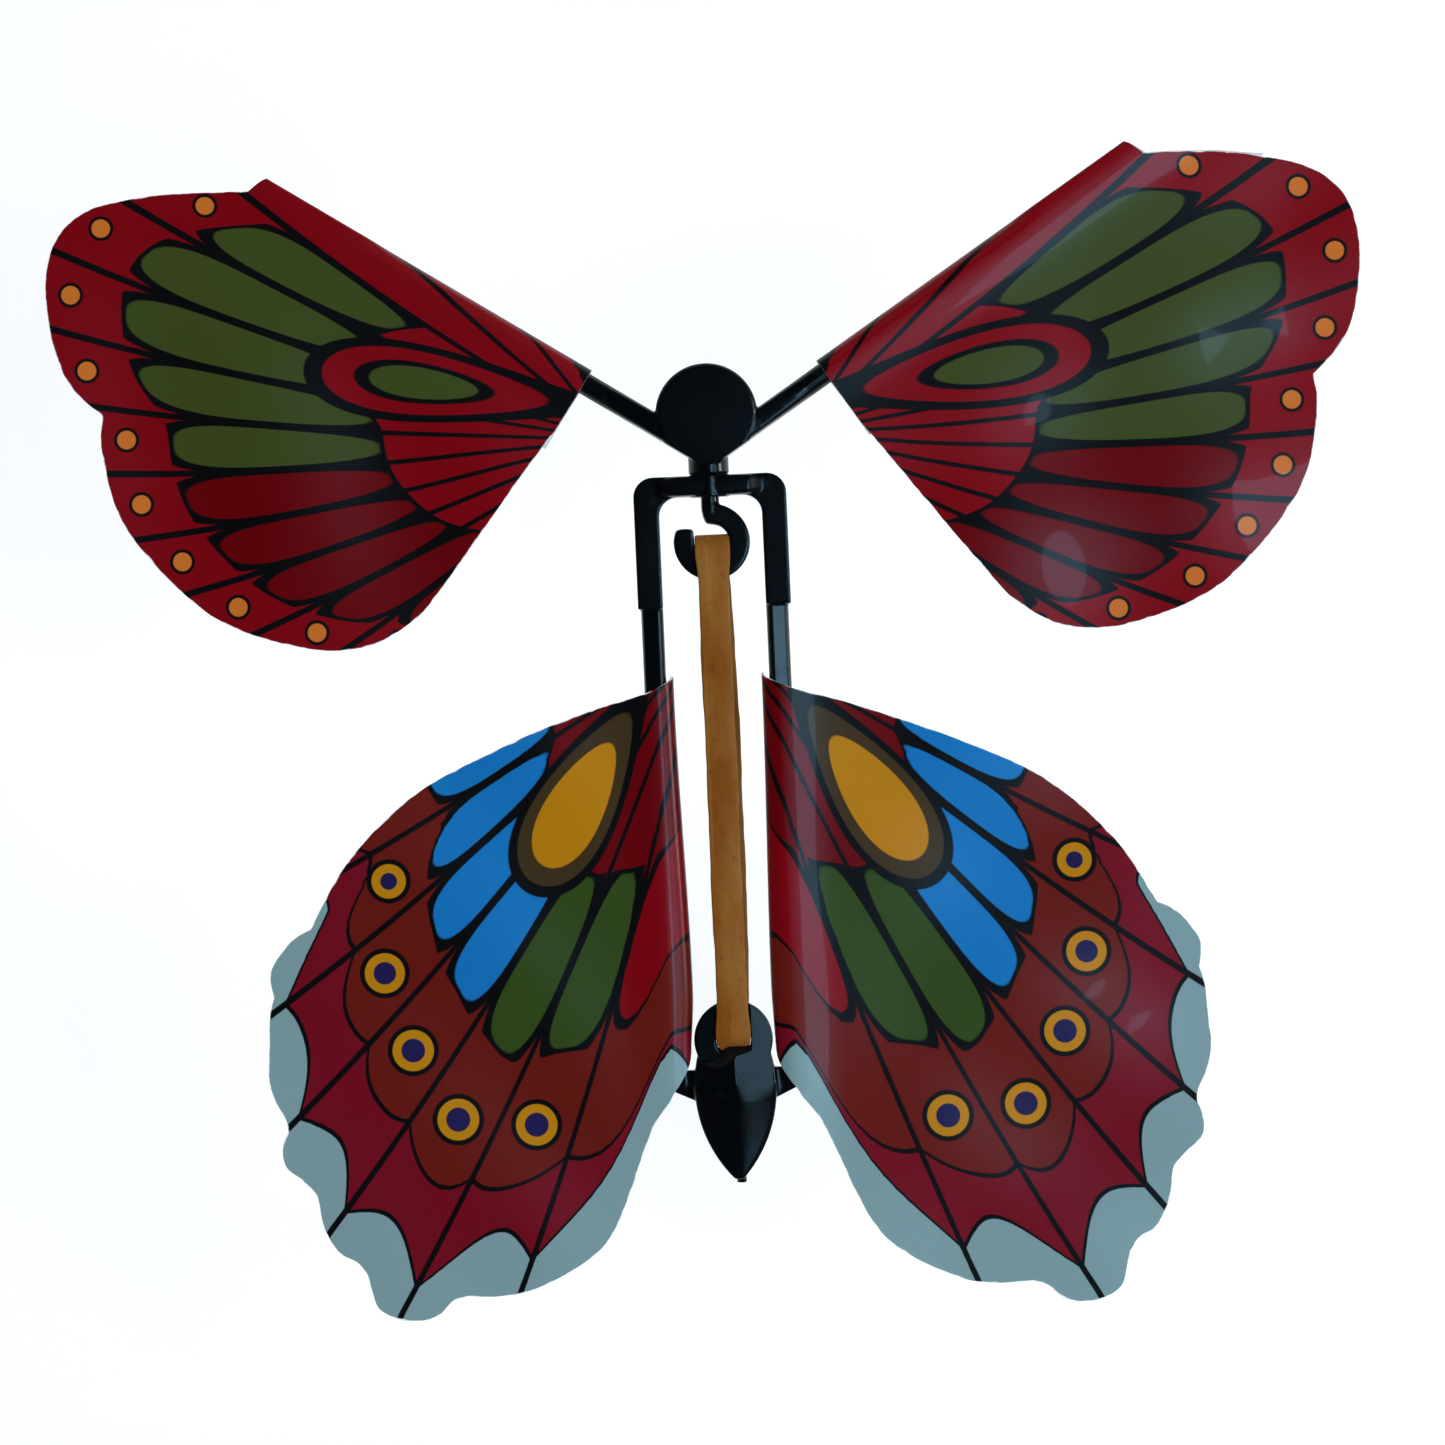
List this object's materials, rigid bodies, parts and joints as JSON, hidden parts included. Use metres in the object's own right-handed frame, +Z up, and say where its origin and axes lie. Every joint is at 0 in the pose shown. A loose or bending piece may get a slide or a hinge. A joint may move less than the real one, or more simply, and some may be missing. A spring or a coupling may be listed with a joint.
{
  "type": "wind-up flying butterfly",
  "caption": "Rubber-band flying butterfly toy: printed film forewings on a spinning head, film hind wings on a slim black frame, and a flat band between two hooks.",
  "frame": {"origin": "middle of the toy's outline, on the table it lies on", "axes": "+X across the wings to the right, +Y along the spin axis towards the head, +Z up from the table out of the printed fronts"},
  "size_m": [0.1198, 0.1054, 0.004],
  "materials": {
    "black_plastic": "moulded black, glossy",
    "amber_rubber": "amber, matt, a little see-through at the edges",
    "forewing_film": "printed and laminated film, glossy",
    "hindwing_film": "printed and laminated film, glossy",
    "adhesive": "milky adhesive strip"
  },
  "bodies": {
    "frame": {"frame": "black_plastic", "rubber_band": "amber_rubber"},
    "rotor": {"head": "black_plastic", "winding_hook": "black_plastic"},
    "left_forewing": {"left_forewing": "forewing_film", "left_forewing_tape": "adhesive"},
    "right_forewing": {"right_forewing": "forewing_film", "right_forewing_tape": "adhesive"},
    "left_hindwing": {"left_hindwing": "hindwing_film", "left_hindwing_tape": "adhesive"},
    "right_hindwing": {"right_hindwing": "hindwing_film", "right_hindwing_tape": "adhesive"}
  },
  "joints": [
    {"name": "rotor_spin", "type": "hinge", "parent": "frame", "child": "rotor", "pos_m": [0, 0.023, 0.002], "axis": [0, 1, 0], "continuous": true, "deforming": ["rubber_band"]},
    {"name": "left_forewing_swivel", "type": "hinge", "parent": "rotor", "child": "left_forewing", "pos_m": [0, 0.0257, 0.002], "axis": [-0.8387, 0.5446, 0], "range_deg": [-30, 30]},
    {"name": "right_forewing_swivel", "type": "hinge", "parent": "rotor", "child": "right_forewing", "pos_m": [0, 0.0257, 0.002], "axis": [-0.8387, -0.5446, 0], "range_deg": [-30, 30]},
    {"name": "left_hindwing_swivel", "type": "hinge", "parent": "frame", "child": "left_hindwing", "pos_m": [-0.00573, -0.0126, 0.002], "axis": [0, 1, 0], "range_deg": [-30, 30]},
    {"name": "right_hindwing_swivel", "type": "hinge", "parent": "frame", "child": "right_hindwing", "pos_m": [0.00573, -0.0126, 0.002], "axis": [0, -1, 0], "range_deg": [-30, 30]}
  ]
}
